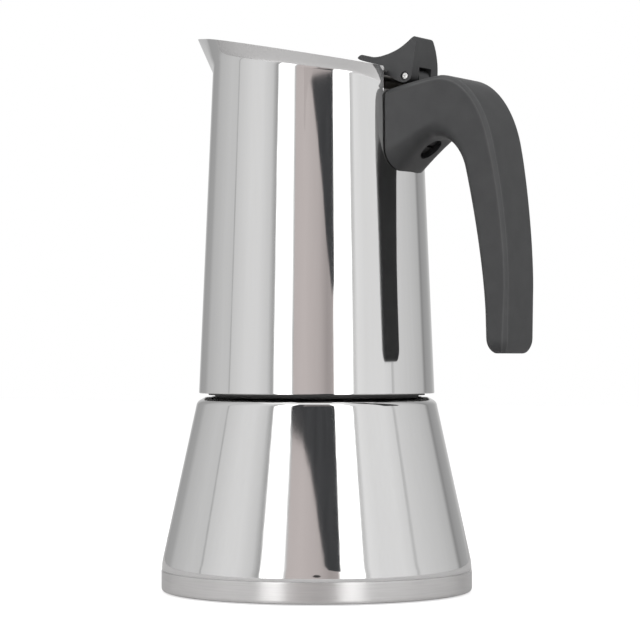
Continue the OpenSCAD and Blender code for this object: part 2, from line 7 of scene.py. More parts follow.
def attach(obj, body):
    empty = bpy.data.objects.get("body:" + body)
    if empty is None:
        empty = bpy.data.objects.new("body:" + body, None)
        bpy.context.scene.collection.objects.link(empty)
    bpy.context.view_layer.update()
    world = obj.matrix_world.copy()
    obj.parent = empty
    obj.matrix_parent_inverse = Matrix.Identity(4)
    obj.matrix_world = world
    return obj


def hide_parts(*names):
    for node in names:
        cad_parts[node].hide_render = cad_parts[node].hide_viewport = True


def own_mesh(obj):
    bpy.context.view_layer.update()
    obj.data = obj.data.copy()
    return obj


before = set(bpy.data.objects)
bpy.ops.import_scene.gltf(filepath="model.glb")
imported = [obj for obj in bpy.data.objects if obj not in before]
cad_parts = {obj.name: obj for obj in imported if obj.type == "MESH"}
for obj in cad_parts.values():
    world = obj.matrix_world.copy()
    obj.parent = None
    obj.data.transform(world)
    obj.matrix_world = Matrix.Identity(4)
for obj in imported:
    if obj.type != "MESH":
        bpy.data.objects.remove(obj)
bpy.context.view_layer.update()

# ---- Camera ----
# A long lens a little under a metre away, just above the height of the boiler's shoulder.
# It stands a little on the handle's side, so that the spout points left and away.

camera_turn = math.radians(32)
camera_away = 0.8356
camera_height = 0.0775
aim_aside, aim_up = -0.0013, 0.0156
toward_camera = Vector((math.sin(camera_turn), -math.cos(camera_turn), 0))
beside_camera = Vector((math.cos(camera_turn), math.sin(camera_turn), 0))
bpy.ops.object.camera_add(location=toward_camera * camera_away + Vector((0, 0, camera_height)))
camera = bpy.context.object
camera.name = "camera"
camera.data.lens = 139.85
camera.data.sensor_width = 36
camera.data.clip_start = 0.01
look = Matrix.Rotation(aim_aside, 3, "Z") @ -toward_camera + Vector((0, 0, math.tan(aim_up)))
camera.rotation_euler = look.to_track_quat("-Z", "Y").to_euler()
bpy.context.scene.camera = camera
bpy.context.scene.view_settings.view_transform = "Standard"

# ---- Studio ----
# A white sweep, a soft box on each side and one overhead, and a plain soft fill from all round.
# The boards round the pot are seen only where it mirrors them.


class Wire:
    """An output of a node. Arithmetic on it adds Math nodes."""

    def __init__(self, finish, socket):
        self.finish = finish
        self.socket = socket

    def math(self, operation, *values):
        return self.finish.node("ShaderNodeMath", {"operation": operation}, dict(enumerate(values)))

    def __add__(self, other):
        return self.math("ADD", self, other)

    def __sub__(self, other):
        return self.math("SUBTRACT", self, other)

    def __rsub__(self, other):
        return self.math("SUBTRACT", other, self)

    def __mul__(self, other):
        return self.math("MULTIPLY", self, other)

    def __truediv__(self, other):
        return self.math("DIVIDE", self, other)

    def __rtruediv__(self, other):
        return self.math("DIVIDE", other, self)

    __radd__ = __add__
    __rmul__ = __mul__


class Finish:
    """The nodes of one finish: a material's or the world's."""

    def __init__(self, owner):
        owner.use_nodes = True
        self.owner = owner
        self.tree = owner.node_tree
        self.tree.nodes.clear()

    def node(self, kind, settings=None, sockets=None, out=0):
        made = self.tree.nodes.new(kind)
        for key, value in (settings or {}).items():
            if key == "stops":
                while len(made.color_ramp.elements) < len(value):
                    made.color_ramp.elements.new(0.5)
                for stop, (place, level) in zip(made.color_ramp.elements, value):
                    stop.position = place
                    stop.color = (level, level, level, 1)
            else:
                setattr(made, key, value)
        for key, value in (sockets or {}).items():
            if isinstance(value, Wire):
                self.tree.links.new(value.socket, made.inputs[key])
            else:
                made.inputs[key].default_value = value
        return Wire(self, made.outputs[out])

    def place(self, scale=(1, 1, 1), turn=(0, 0, 0)):
        coords = self.node("ShaderNodeTexCoord", out="Object")
        return self.node("ShaderNodeMapping", {}, {"Vector": coords, "Scale": scale, "Rotation": turn})

    def noise(self, size, detail=3, scale=(1, 1, 1), turn=(0, 0, 0)):
        """Noise whose blobs are about size metres across."""
        where = self.place(scale, turn)
        return self.node("ShaderNodeTexNoise", {},
                         {"Vector": where, "Scale": 1 / size, "Detail": detail}, "Fac")

    def spread(self, value, low, high, to_low=0, to_high=1):
        return self.node("ShaderNodeMapRange", {}, {"Value": value, "From Min": low, "From Max": high,
                                                    "To Min": to_low, "To Max": to_high})

    def close(self, surface, kind="ShaderNodeOutputMaterial"):
        self.tree.links.new(surface.socket, self.tree.nodes.new(kind).inputs["Surface"])
        return self.owner

    def skin(self, **sockets):
        """A Principled shader from socket names with underscores for spaces, wired to the output."""
        named = {key.replace("_", " "): value for key, value in sockets.items()}
        return self.close(self.node("ShaderNodeBsdfPrincipled", {}, named))

    def blend(self, factor, one, other, mode="MIX"):
        return self.node("ShaderNodeMix", {"data_type": "RGBA", "blend_type": mode},
                         {0: factor, 6: one, 7: other}, 2)


def sky():
    """White all round, a little dimmer where it lights the pot than where it is seen."""
    world = bpy.context.scene.world or bpy.data.worlds.new("studio")
    bpy.context.scene.world = world
    f = Finish(world)
    path = f.node("ShaderNodeLightPath", {}, {}, "Is Camera Ray")
    glossy = Wire(f, path.socket.node.outputs["Is Glossy Ray"])
    through = Wire(f, path.socket.node.outputs["Is Transmission Ray"])
    seen = path.math("MAXIMUM", path, glossy)
    seen = seen.math("MAXIMUM", seen, through)
    light = f.node("ShaderNodeBackground", {}, {"Color": (1, 1, 1, 1), "Strength": 0.72})
    white = f.node("ShaderNodeBackground", {}, {"Color": (1, 1, 1, 1), "Strength": 1})
    both = f.node("ShaderNodeMixShader", {}, {0: seen, 1: light, 2: white})
    f.close(both, "ShaderNodeOutputWorld")


sky()


def soft_box(name, angle, away, height, width, tall, power):
    """A soft box at an angle in degrees from the camera, turned to the middle of the pot."""
    bpy.ops.object.light_add(type="AREA")
    lamp = bpy.context.object
    lamp.name = name
    turn = math.radians(angle)
    way = toward_camera * math.cos(turn) + beside_camera * math.sin(turn)
    lamp.location = way * away + Vector((0, 0, height))
    lamp.rotation_euler = (Vector((0, 0, 0.1)) - lamp.location).to_track_quat("-Z", "Y").to_euler()
    lamp.data.shape = "RECTANGLE"
    lamp.data.size = width
    lamp.data.size_y = tall
    lamp.data.energy = power
    lamp.visible_glossy = False
    lamp.visible_camera = False


soft_box("left_box", angle=-52, away=1.0, height=0.35, width=0.5, tall=1.0, power=6)
soft_box("right_box", angle=46, away=1.0, height=0.35, width=0.5, tall=1.0, power=6)
soft_box("top_box", angle=-20, away=0.25, height=1.1, width=0.8, tall=0.8, power=5)


def deselect():
    bpy.ops.object.select_all(action="DESELECT")


deselect()
floor_gap = 0.0004
bpy.ops.mesh.primitive_plane_add(size=6, location=(0, 0, -floor_gap))
floor = bpy.context.object
floor.name = "floor"
f = Finish(bpy.data.materials.new("white_sweep"))
cloud = f.noise(0.6, 2)
paint = f.blend(cloud, (0.40, 0.395, 0.395, 1), (0.44, 0.435, 0.435, 1))
matte = f.node("ShaderNodeBsdfPrincipled", {}, {"Base Color": paint, "Roughness": 0.8,
                                                "Specular IOR Level": 0.1})
glow = f.node("ShaderNodeEmission", {}, {"Color": (1, 1, 1, 1), "Strength": 0.68})
seen = f.node("ShaderNodeLightPath", {}, {}, "Is Camera Ray")
lifted = f.node("ShaderNodeAddShader", {}, {0: matte, 1: glow})
top = f.node("ShaderNodeMixShader", {}, {0: seen, 1: matte, 2: lifted})
f.close(top)
floor.data.materials.append(f.owner)


def mirror_only(piece):
    """Lets only mirroring surfaces see a piece."""
    for ray in ("visible_camera", "visible_diffuse", "visible_transmission", "visible_volume_scatter",
                "visible_shadow"):
        setattr(piece, ray, False)


def surround(name, radius, low, high, paint):
    """A round wall about the pot that only mirrors see."""
    deselect()
    bpy.ops.mesh.primitive_cylinder_add(vertices=192, radius=radius, depth=high - low,
                                        location=(0, 0, (low + high) / 2), end_fill_type="NOTHING")
    wall = bpy.context.object
    wall.name = name
    bpy.ops.object.transform_apply()
    bpy.ops.object.shade_smooth()
    wall.data.materials.append(paint)
    mirror_only(wall)


def from_camera(f):
    """The angle round the pot from the camera, in degrees to the right, and the height in metres."""
    parts = f.node("ShaderNodeSeparateXYZ", {}, {0: f.place(turn=(0, 0, -camera_turn))})
    x, y, z = (Wire(f, parts.socket.node.outputs[i]) for i in range(3))
    return x.math("ARCTAN2", x, y * -1) * (180 / math.pi), z


def boards():
    """Grey boards with dark seams, and two soft boxes, each stop an angle and a grey from 0 to 255."""
    f = Finish(bpy.data.materials.new("studio_boards"))
    angle, _ = from_camera(f)

    def greys(stops):
        places = [((a + 180) / 360, ((v / 255 + 0.055) / 1.055) ** 2.4) for a, v in stops]
        return f.node("ShaderNodeValToRGB", {"stops": places}, {"Fac": angle / 360 + 0.5})

    left = greys([(-180, 200), (-165, 178), (-155, 148), (-138, 156), (-130, 176), (-105, 191),
                  (-93.2, 190), (-92.4, 120), (-91.6, 195), (-72, 210), (-60, 211), (-48, 196),
                  (-43.4, 158), (-41.4, 150), (-40.4, 330)])
    right = greys([(-24.6, 330), (-23.4, 138), (-22.4, 176), (-12, 180), (2, 170), (10, 148), (15.5, 156),
                   (17.4, 330), (34.2, 330), (35.4, 120), (36.6, 190), (39.5, 220), (48, 213), (66, 214),
                   (76.9, 204), (78, 125), (79.1, 204), (92, 197), (108, 189), (124, 176), (129.5, 132),
                   (134, 146), (150, 158), (166, 190), (180, 200)])
    halves_meet = -30.6
    grey = f.blend(angle.math("GREATER_THAN", angle, halves_meet), left, right)
    warm_at, warm_half = -3, 19
    warm = angle.math("COMPARE", angle, warm_at, warm_half)
    tint = f.blend(warm, (1, 1, 1, 1), (1.085, 0.985, 0.965, 1))
    colour = f.blend(1.0, grey, tint, "MULTIPLY")
    return f.close(f.node("ShaderNodeEmission", {}, {"Color": colour, "Strength": 1.22}))


def board(name, reach, foot, tall, line, soft, left, right, dark, light):
    """A board in front of the wall, seen above a line and between its sides, and clear elsewhere.

    The line's points are (angle, height in mm), within reach degrees of the camera and between the
    foot and tall mm above it. Left and right say where each side starts and ends its fade.
    """
    f = Finish(bpy.data.materials.new(name))
    angle, z = from_camera(f)
    places = [((a + reach) / (2 * reach), (h - foot) / tall) for a, h in line]
    edge = f.node("ShaderNodeValToRGB", {"stops": places}, {"Fac": angle / (2 * reach) + 0.5})
    above = f.spread(z * (1000 / tall) - foot / tall - edge, -soft, soft)
    across = f.spread(angle, *left) * f.spread(angle, *right)
    clear = f.node("ShaderNodeBsdfTransparent")
    colour = f.blend(f.noise(0.05, 2), (*dark, 1), (*light, 1))
    lit = f.node("ShaderNodeEmission", {}, {"Color": colour, "Strength": 1})
    return f.close(f.node("ShaderNodeMixShader", {}, {0: above * across, 1: clear, 2: lit}))


dark_board = board("dark_board", reach=30, foot=100, tall=250, soft=0.012,
                   line=[(-24, 306), (-12.5, 303), (-5.5, 287), (-1, 268), (2.5, 247), (5.5, 230),
                         (6.6, 220), (9.4, 197), (14.5, 168)],
                   left=(-24.5, -23.5), right=(17.4, 16.6),
                   dark=(0.04, 0.041, 0.043), light=(0.075, 0.076, 0.08))
pale_board = board("pale_board", reach=20, foot=190, tall=40, soft=0.01,
                   line=[(-11.2, 190), (-10.6, 202), (-8.8, 208), (-7.2, 210.2), (-4, 211.8), (3, 212.8),
                         (15.5, 213.8)],
                   left=(-12.8, -12.2), right=(15.4, 14.8),
                   dark=(0.5, 0.45, 0.44), light=(0.54, 0.49, 0.48))
surround("studio_wall", radius=0.85, low=-0.6, high=1.6, paint=boards())
surround("near_board", radius=0.25, low=0.19, high=0.26, paint=pale_board)
surround("camera_stand", radius=0.65, low=0.1, high=1.2, paint=dark_board)


def aimed(place, way, side="Y"):
    """Turns a piece's Z along a direction and moves it to a place."""
    return Matrix.Translation(place) @ way.to_track_quat("Z", side).to_matrix().to_4x4()


deselect()
bpy.ops.mesh.primitive_cylinder_add(vertices=48, radius=0.04, depth=0.01)
lens = bpy.context.object
lens.name = "camera_lens"
lens_away = 0.83
lens.matrix_world = aimed(toward_camera * lens_away + Vector((0, 0, camera_height)), toward_camera)
bpy.ops.object.transform_apply()
f = Finish(bpy.data.materials.new("lens_black"))
glass = f.blend(f.noise(0.02, 2), (0.01, 0.01, 0.01, 1), (0.02, 0.02, 0.02, 1))
lens.data.materials.append(f.skin(Base_Color=glass, Roughness=0.5))
mirror_only(lens)

# ---- Boiler ----
# The lower pot: spun stainless steel, polished outside, with a rounded shoulder and a plain neck.
# Its floor is closed by the capsule base below.

MM = 0.001


def curve(a, b, c, t):
    """The point at t of the curve that leaves a towards b and arrives at c."""
    return a * (1 - t) ** 2 + b * 2 * t * (1 - t) + c * t * t


def eased(outline, radius):
    """A closed outline with its corners rounded, and a held edge beside each rounding."""
    done = []
    hold, least_radius, nearly_straight = 0.5, 0.02, math.radians(160)
    for i, corner in enumerate(outline):
        here = Vector(corner)
        before = Vector(outline[i - 1]) - here
        after = Vector(outline[(i + 1) % len(outline)]) - here
        r = min(radius, before.length * 0.3, after.length * 0.3)
        on_axis = corner[0] < 1e-6
        if on_axis or before.angle(after) > nearly_straight or r < least_radius:
            done.append(tuple(here))
            continue
        start, end = here + before.normalized() * r, here + after.normalized() * r
        if before.length > 6 * r:
            done.append(tuple(here + before.normalized() * (r + min(hold, before.length * 0.2))))
        done += [tuple(curve(start, here, end, k / 3)) for k in range(4)]
        if after.length > 6 * r:
            done.append(tuple(here + after.normalized() * (r + min(hold, after.length * 0.2))))
    return done


def turned(name, outline, steps):
    """A piece turned about the pot's axis from a closed outline of (radius, height) in mm."""
    deselect()
    bpy.ops.mesh.primitive_circle_add(vertices=len(outline), radius=0.01)
    piece = bpy.context.object
    piece.name = piece.data.name = name
    for corner, (r, z) in zip(piece.data.vertices, outline):
        corner.co = (r * MM, 0, z * MM)
    bpy.ops.object.mode_set(mode="EDIT")
    bpy.ops.mesh.select_all(action="SELECT")
    bpy.ops.mesh.spin(steps=steps, angle=2 * math.pi, center=(0, 0, 0), axis=(0, 0, 1))
    bpy.ops.mesh.select_all(action="SELECT")
    bpy.ops.mesh.remove_doubles(threshold=1e-6)
    bpy.ops.mesh.normals_make_consistent(inside=False)
    bpy.ops.object.mode_set(mode="OBJECT")
    bpy.ops.object.shade_smooth_by_angle(angle=math.radians(40))
    return piece


def finished(piece, material, body, node):
    """Gives a piece its finish and its body, and hides the CAD node that it stands for."""
    piece.data.materials.clear()
    piece.data.materials.append(material)
    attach(piece, body)
    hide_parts(node)


def refinished(material, *nodes):
    """Gives CAD nodes that stay as they are a better finish."""
    for node in nodes:
        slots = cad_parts[node].data.materials
        slots.clear()
        slots.append(material)


def polished():
    """Mirror-polished stainless steel: faint upright polishing marks, wipe smears and a warm tint."""
    f = Finish(bpy.data.materials.new("polished_steel"))
    marks = f.noise(0.0011, 4, scale=(1, 1, 0.035))
    smear = f.noise(0.018, 3, scale=(1, 1, 0.3))
    tint = f.blend(marks, (0.80, 0.795, 0.79, 1), (0.83, 0.83, 0.83, 1))
    colour = f.blend(f.spread(smear, 0.35, 0.7, 0, 0.35), tint, (0.79, 0.785, 0.785, 1))
    rough = f.spread(smear, 0.35, 0.7, 0.03, 0.07) + marks * 0.015
    bump = f.node("ShaderNodeBump", {}, {"Height": marks, "Strength": 0.02, "Distance": 0.0002})
    return f.skin(Base_Color=colour, Metallic=1.0, Roughness=rough, Normal=bump)


def dull(name, dark, light, low, high):
    """Unpolished metal: soft cloudy patches and fine scratches."""
    f = Finish(bpy.data.materials.new(name))
    cloud = f.noise(0.01, 4)
    scratch = f.noise(0.0006, 2, scale=(1, 0.05, 1), turn=(0.4, 0.2, 0.7))
    colour = f.blend(f.spread(cloud, 0.3, 0.7), (*dark, 1), (*light, 1))
    rough = f.spread(cloud, 0.3, 0.7, low, high) + scratch * 0.05
    bump = f.node("ShaderNodeBump", {}, {"Height": scratch, "Strength": 0.08, "Distance": 0.0001})
    return f.skin(Base_Color=colour, Metallic=1.0, Roughness=rough, Normal=bump)


steel = polished()
# Darker dull steel: real staining inside the pot and under the lid, and painted shade on the top of the wall
# at the notch under the lever.
stain_and_shade = dull("stained_and_shaded_steel", (0.26, 0.25, 0.24), (0.36, 0.35, 0.34), 0.34, 0.46)
# Dark dull steel for the thread rings and the boiler's neck: painted shade for the gap between the two pots.
shaded_thread_steel = dull("shaded_thread_steel", (0.09, 0.09, 0.09), (0.16, 0.16, 0.16), 0.45, 0.6)
cone_lean = 12.3
cone_slope = math.tan(math.radians(cone_lean))
cone_foot_r, cone_foot_z = 50.95, 13.4
boiler_wall, boiler_low = 0.9, 7.05
neck_r, neck_in, neck_z = 34.2, 33.3, 75.9


def cone_r(z):
    return cone_foot_r - (z - cone_foot_z) * cone_slope


shoulder_start = Vector((cone_r(62.2), 62.2))
shoulder_turn = Vector((cone_r(63.15), 63.15))
shoulder_end = shoulder_turn + Vector((-1.05, 0.62))
neck_slope = Vector((37.3, 64.7))
neck_foot = Vector((neck_r, 64.9))


def shoulder(k):
    """The tight turn from the cone to the flatter slope that runs up to the neck, for k from 0 to 1."""
    if k < 0.6:
        return tuple(curve(shoulder_start, shoulder_turn, shoulder_end, k / 0.6))
    if k < 0.8:
        return tuple(shoulder_end.lerp(neck_slope, (k - 0.6) / 0.2))
    return tuple(neck_slope.lerp(neck_foot, (k - 0.8) / 0.2))


foot_low, foot_bend, foot_high = Vector((51.84, 7.4)), Vector((51.84, 9.3)), Vector((cone_r(11), 11))
foot_turn = [(51.75, boiler_low)]
foot_turn += [tuple(curve(foot_low, foot_bend, foot_high, k / 5)) for k in range(6)]
cone = [(cone_r(z), z) for z in (12.2, cone_foot_z, 14.55, 36.1, 58.1, 60.9)]
shoulder_line = [shoulder(k / 15) for k in range(16)]
neck = [(neck_r, neck_z - 0.4), (neck_r - 0.15, neck_z), (neck_in + 0.15, neck_z), (neck_in, neck_z - 0.4)]
shoulder_inside = [(r - boiler_wall, z - boiler_wall * min(1, k / 9))
                   for k, (r, z) in enumerate(shoulder_line)]
floor_inside = [(cone_foot_r - boiler_wall, cone_foot_z), (50.65, 9.6), (50.2, 8.6), (49.2, 7.95),
                (0, 7.9), (0, boiler_low)]
boiler = turned("boiler_wall", foot_turn + cone + shoulder_line + neck + shoulder_inside[::-1]
                + floor_inside, 192)
finished(boiler, steel, "boiler", "boiler_shell")
# The neck above the shoulder is painted dark, as painted shade in the gap under the collector.
boiler.data.materials.append(shaded_thread_steel)
neck_shade_low = 64.82
for face in boiler.data.polygons:
    if face.center.z > neck_shade_low * MM and face.center.xy.length < (neck_r + 1) * MM:
        face.material_index = 1

# ---- Base ----
# A pressed steel pan that closes the boiler's underside round an aluminium core, so that the pot
# heats evenly. The rim of the pan shows as a machined band, and its underside rests on the stove.


def satin():
    """Fine-turned stainless steel with level machining lines and a faint warm grey."""
    f = Finish(bpy.data.materials.new("satin_steel"))
    lines = f.noise(0.00035, 3, scale=(0.03, 0.03, 1))
    blotch = f.noise(0.012, 2)
    colour = f.blend(f.spread(lines, 0.3, 0.7), (0.8, 0.79, 0.785, 1), (0.86, 0.85, 0.845, 1))
    rough = f.spread(blotch, 0.3, 0.7, 0.33, 0.38) + lines * 0.03
    bump = f.node("ShaderNodeBump", {}, {"Height": lines, "Strength": 0.1, "Distance": 0.00006})
    return f.skin(Base_Color=colour, Metallic=1.0, Roughness=rough, Anisotropic=0.95,
                  Anisotropic_Rotation=0.25, Normal=bump)


pan_r, pan_top, pan_wall = 52, 7, 0.8
core_r = pan_r - pan_wall
pan_line = [(0, 0), (pan_r - 1, 0), (pan_r - 0.3, 0.3), (pan_r, 1), (pan_r, pan_top), (core_r, pan_top),
            (core_r, pan_wall), (0, pan_wall)]
band = turned("base_band", eased(pan_line, 0.25), 192)
finished(band, satin(), "boiler", "base_pan")
core_line = [(0, pan_wall), (core_r, pan_wall), (core_r, pan_top), (0, pan_top)]
core = turned("heat_core", eased(core_line, 0.3), 96)
core_alloy = dull("cast_core", (0.55, 0.55, 0.56), (0.66, 0.66, 0.67), 0.4, 0.52)
finished(core, core_alloy, "boiler", "base_core")

# ---- Collector ----
# The upper pot: one spun steel shell whose lip is flared and drawn out to a pouring spout, and cut
# away at the back for the handle and the hinge. Polished like the boiler, duller inside.

wall_slope = math.tan(math.radians(2.43))
rim_lean = 10.6
rim_fall = math.tan(math.radians(rim_lean))
skirt_r, skirt_z, skirt_edge = 39.5, 66.0, 0.25
rim_z, rim_r, tip_reach = 179.15, 37.5, 47.8
sheet = 0.9
notch_half = math.degrees(math.asin(11.9 / 34.9))
notch_z = 165.4
keel_from, keel_deep = 110, 20
notch_reach, flare_lost, crease_lost = 24, 1.2, 4.8
crease_drop, crease_lean = 5.4, 0.054
tip_soft, soft_from, soft_over = 3, 118, 30


def wall_r(z):
    return skirt_r - (z - skirt_z) * wall_slope


def rim_at(x):
    return rim_z - x * rim_fall


def lip(a):
    """Crease height, lip top radius and height, and sharpness of the crease, at an angle in degrees."""
    far = abs(a)
    if far < notch_half:
        return notch_z - 1, wall_r(notch_z), notch_z, 1
    # Towards the spout the crease sinks to a keel, and the lip is drawn out to the tip
    keel = keel_deep * (max(0, far - keel_from) / (180 - keel_from)) ** 3
    x = wall_r(rim_z) * math.cos(math.radians(a))
    crease = rim_at(x) - crease_drop + crease_lean * x - keel
    spout_half = math.degrees(math.acos(rim_r / tip_reach))
    off = math.sqrt((180 - far) ** 2 + tip_soft ** 2) - tip_soft
    radius = rim_r / math.cos(math.radians(max(0, spout_half - off)))
    # Beside the notch the lip is flared less, and from lower down
    near = max(0, 1 - (far - notch_half) / notch_reach)
    radius -= flare_lost * near
    crease -= crease_lost * near * near
    sharp = 1 - min(1, max(0, (far - soft_from) / soft_over))
    sharp *= sharp * (3 - 2 * sharp) * (1 - near)
    return crease, radius, rim_at(radius * math.cos(math.radians(a))), sharp


def flare(t, sharp):
    """How far out the lip stands at t of its height: nearly straight, from a crease or a soft start."""
    start = 0.42 - 0.1 * (1 - sharp)
    return (t * t / (2 * start) if t < start else t - start / 2) / (1 - start / 2)


flare_steps = (0, 0.05, 0.1, 0.16, 0.22, 0.28, 0.35, 0.42, 0.5, 0.6, 0.72, 0.84, 0.94, 0.99)
plain_z = 140
edge_soft = 0.12


def shell_line(a):
    """The section of the shell at an angle, as (radius, height) from the skirt up and down again."""
    crease, radius, top, sharp = lip(a)
    foot_r, crease_r = wall_r(skirt_z), wall_r(crease)
    outside = [(foot_r - skirt_edge, skirt_z), (foot_r, skirt_z + skirt_edge)]
    outside += [(wall_r(z), z) for z in (skirt_z + sheet, 80, 110, plain_z)]
    outside += [(wall_r(z), z) for z in (plain_z + (crease - plain_z) * k
                                         for k in (0.3, 0.6, 0.85, 0.97, 0.992))]
    outside += [(crease_r + (radius - crease_r) * flare(t, sharp), crease + (top - crease) * t)
                for t in flare_steps]
    edge = [(radius - edge_soft, top), (radius - sheet + edge_soft, top)]
    inside = [(r - sheet, z) for r, z in outside[:1:-1]]
    inside += [(foot_r - sheet, skirt_z + skirt_edge), (foot_r - sheet + skirt_edge, skirt_z)]
    return outside + edge + inside


def rolled(name, columns, line, joined):
    """A wall rolled up from a flat grid: each column is set to a closed section, and the seams close."""
    deselect()
    rows = len(line(columns[0]))
    across = len(columns) + (1 if joined else 0)
    bpy.ops.mesh.primitive_grid_add(x_subdivisions=across - 1, y_subdivisions=rows, size=0.1)
    piece = bpy.context.object
    piece.name = piece.data.name = name
    for i in range(across):
        section = line(columns[i % len(columns)])
        for j in range(rows + 1):
            piece.data.vertices[j * across + i].co = Vector(section[j % rows]) * MM
    bpy.ops.object.mode_set(mode="EDIT")
    bpy.ops.mesh.select_all(action="SELECT")
    bpy.ops.mesh.remove_doubles(threshold=1e-7)
    if not joined:
        bpy.ops.mesh.select_all(action="DESELECT")
        bpy.ops.mesh.select_non_manifold()
        bpy.ops.mesh.fill_holes(sides=0)
        bpy.ops.mesh.select_all(action="SELECT")
    bpy.ops.mesh.normals_make_consistent(inside=False)
    bpy.ops.object.mode_set(mode="OBJECT")
    bpy.ops.object.shade_smooth_by_angle(angle=math.radians(35))
    return piece


lean_most, lean_reach = 1.1, 8


def round_line(a):
    """The section in space. Beside the notch the flare of the lip leans a little away from the notch."""
    beyond = abs(a) - notch_half
    lean = lean_most * max(0, 1 - beyond / lean_reach) if beyond > 0 else 0
    made = []
    for r, z in shell_line(a):
        turn = math.radians(a + math.copysign(lean * max(0, r - wall_r(z)), a))
        made.append((r * math.cos(turn), r * math.sin(turn), z))
    return made


# The columns stand evenly, and closer at each side of the notch
column_step = 1.5
notch_edge = [notch_half - 0.03, notch_half + 0.03]
beside = [0.6, 1.2, 1.8, 2.4, 3.0]
shell_turns = ([-a for a in reversed(notch_edge)] + [k * column_step for k in range(-12, 13)] + notch_edge
               + [notch_half + k for k in beside] + [k * column_step for k in range(16, 225)]
               + [360 - notch_half - k for k in reversed(beside)])
shell = rolled("collector_wall", shell_turns, lambda a: round_line(a if a <= 180 else a - 360), joined=True)
finished(shell, steel, "collector", "collector_shell")
shell.data.materials.append(stain_and_shade)
for face in shell.data.polygons:
    spot = face.center
    inward = face.normal.xy.dot(spot.xy) < 0
    turn = abs(math.degrees(math.atan2(spot.y, spot.x)))
    # The top of the wall at the notch gets it too, as painted shade under the lever.
    notch_shade = turn < notch_half + 0.3 and spot.z > (notch_z - 0.3) * MM
    if inward or notch_shade:
        face.material_index = 1

# ---- Inside the collector ----
# A pressed floor with a domed middle, the riser column that the coffee comes up, and its cap.
# Brushed inside, because only the outside is buffed. The threaded collar is pressed in below.

inner_steel = dull("inner_steel", (0.62, 0.61, 0.60), (0.74, 0.73, 0.72), 0.24, 0.34)
seat_z, dome_rise = 80.3, 7
dome_z = seat_z + dome_rise
dome_foot, dome_head = 26.5, 8.5
floor_r, floor_wall = 38.0, 1
tube_r, tube_in, tube_top = 5.5, 4.7, 149.3


def floor_curve(k):
    """The domed part of the floor from its flat seat up to the column."""
    t = k / 10
    return dome_foot + (dome_head - dome_foot) * t, seat_z + dome_rise * t * t * (3 - 2 * t)


dome_line = [floor_curve(k) for k in range(11)]
floor_line = [(floor_r, seat_z + 0.1), (floor_r, seat_z + 0.9), (floor_r - 0.4, seat_z + floor_wall)]
floor_line += [(r, z + floor_wall) for r, z in dome_line]
floor_line += [(6.6, dome_z + floor_wall), (tube_r, dome_z + floor_wall), (tube_r, dome_z)]
floor_line += [(r + 0.2, z) for r, z in reversed(dome_line)]
pressed = turned("collector_floor_pressing", floor_line, 96)
finished(pressed, inner_steel, "collector", "collector_floor")
tube_line = [(tube_in, dome_z), (tube_r, dome_z), (tube_r, tube_top), (tube_in, tube_top)]
column = turned("riser_tube", eased(tube_line, 0.15), 64)
finished(column, inner_steel, "collector", "riser_column")
refinished(inner_steel, "column_cap")
# The thread rings are painted dark, as painted shade in the gap between the pots.
refinished(shaded_thread_steel, "neck_ring", "collar_ring")

# ---- Funnel and filter ----
# The funnel holds the ground coffee on a perforated grid above its stem. A perforated plate and a
# silicone ring seal the top of it against the collector.

bowl_r, bowl_in, bowl_rim_r = 32.6, 31.8, 35.3
bowl_z, grid_z, bowl_rim_z = 48.1, 54.3, 75.9
funnel_wall = 0.8
stem_r, stem_in, stem_low = 5, 4.2, 13.9
bowl_line = [(stem_r, bowl_z), (7.4, bowl_z), (bowl_r, grid_z), (bowl_r, bowl_rim_z),
             (bowl_rim_r, bowl_rim_z), (bowl_rim_r, bowl_rim_z + funnel_wall),
             (bowl_in, bowl_rim_z + funnel_wall), (bowl_in, grid_z + 0.4), (6.8, bowl_z + funnel_wall),
             (stem_r, bowl_z + funnel_wall)]
bowl = turned("funnel_cup", eased(bowl_line, 0.7), 128)
finished(bowl, inner_steel, "funnel", "funnel_bowl")
stem_top = bowl_z + funnel_wall
stem_line = [(stem_in, stem_low), (stem_r, stem_low), (stem_r, stem_top), (stem_in, stem_top)]
stem = turned("funnel_tube", eased(stem_line, 0.2), 64)
finished(stem, inner_steel, "funnel", "funnel_stem")
refinished(inner_steel, "funnel_grid", "filter_plate")


def silicone():
    """Cream silicone with a faint speckle."""
    f = Finish(bpy.data.materials.new("silicone"))
    speck = f.noise(0.0015, 4)
    cloud = f.noise(0.012, 2)
    colour = f.blend(f.spread(speck + cloud * 0.5, 0.6, 1.0), (0.80, 0.77, 0.68, 1), (0.87, 0.85, 0.78, 1))
    bump = f.node("ShaderNodeBump", {}, {"Height": speck, "Strength": 0.15, "Distance": 0.0001})
    return f.skin(Base_Color=colour, Roughness=f.spread(cloud, 0.3, 0.7, 0.42, 0.55), Normal=bump)


seal_in, seal_r = 27, 35.4
seal_low, seal_top = bowl_rim_z + funnel_wall, 79.5
seal_line = [(seal_in, seal_low), (seal_r, seal_low), (seal_r, seal_top), (seal_in, seal_top)]
seal = turned("seal_ring", eased(seal_line, 0.5), 128)
seal_silicone = silicone()
finished(seal, seal_silicone, "seal", "gasket")

# ---- Safety valve ----
# A brass body screwed through the boiler wall with a nut inside, and a spring-loaded plunger that
# lifts if the pressure is too high. Turned and milled from hexagon bar.


def brass():
    """Machined brass: fine marks and cloudy darker and lighter patches."""
    f = Finish(bpy.data.materials.new("valve_brass"))
    lines = f.noise(0.0004, 3)
    cloud = f.noise(0.004, 3)
    colour = f.blend(f.spread(cloud, 0.35, 0.65), (0.60, 0.42, 0.16, 1), (0.78, 0.58, 0.27, 1))
    bump = f.node("ShaderNodeBump", {}, {"Height": lines, "Strength": 0.12, "Distance": 0.0001})
    rough = f.spread(cloud, 0.3, 0.7, 0.2, 0.34) + lines * 0.05
    return f.skin(Base_Color=colour, Metallic=1.0, Roughness=rough, Normal=bump)


refinished(brass(), "valve_body", "valve_nut", "valve_cap")
refinished(seal_silicone, "valve_washer")
refinished(inner_steel, "valve_plunger")
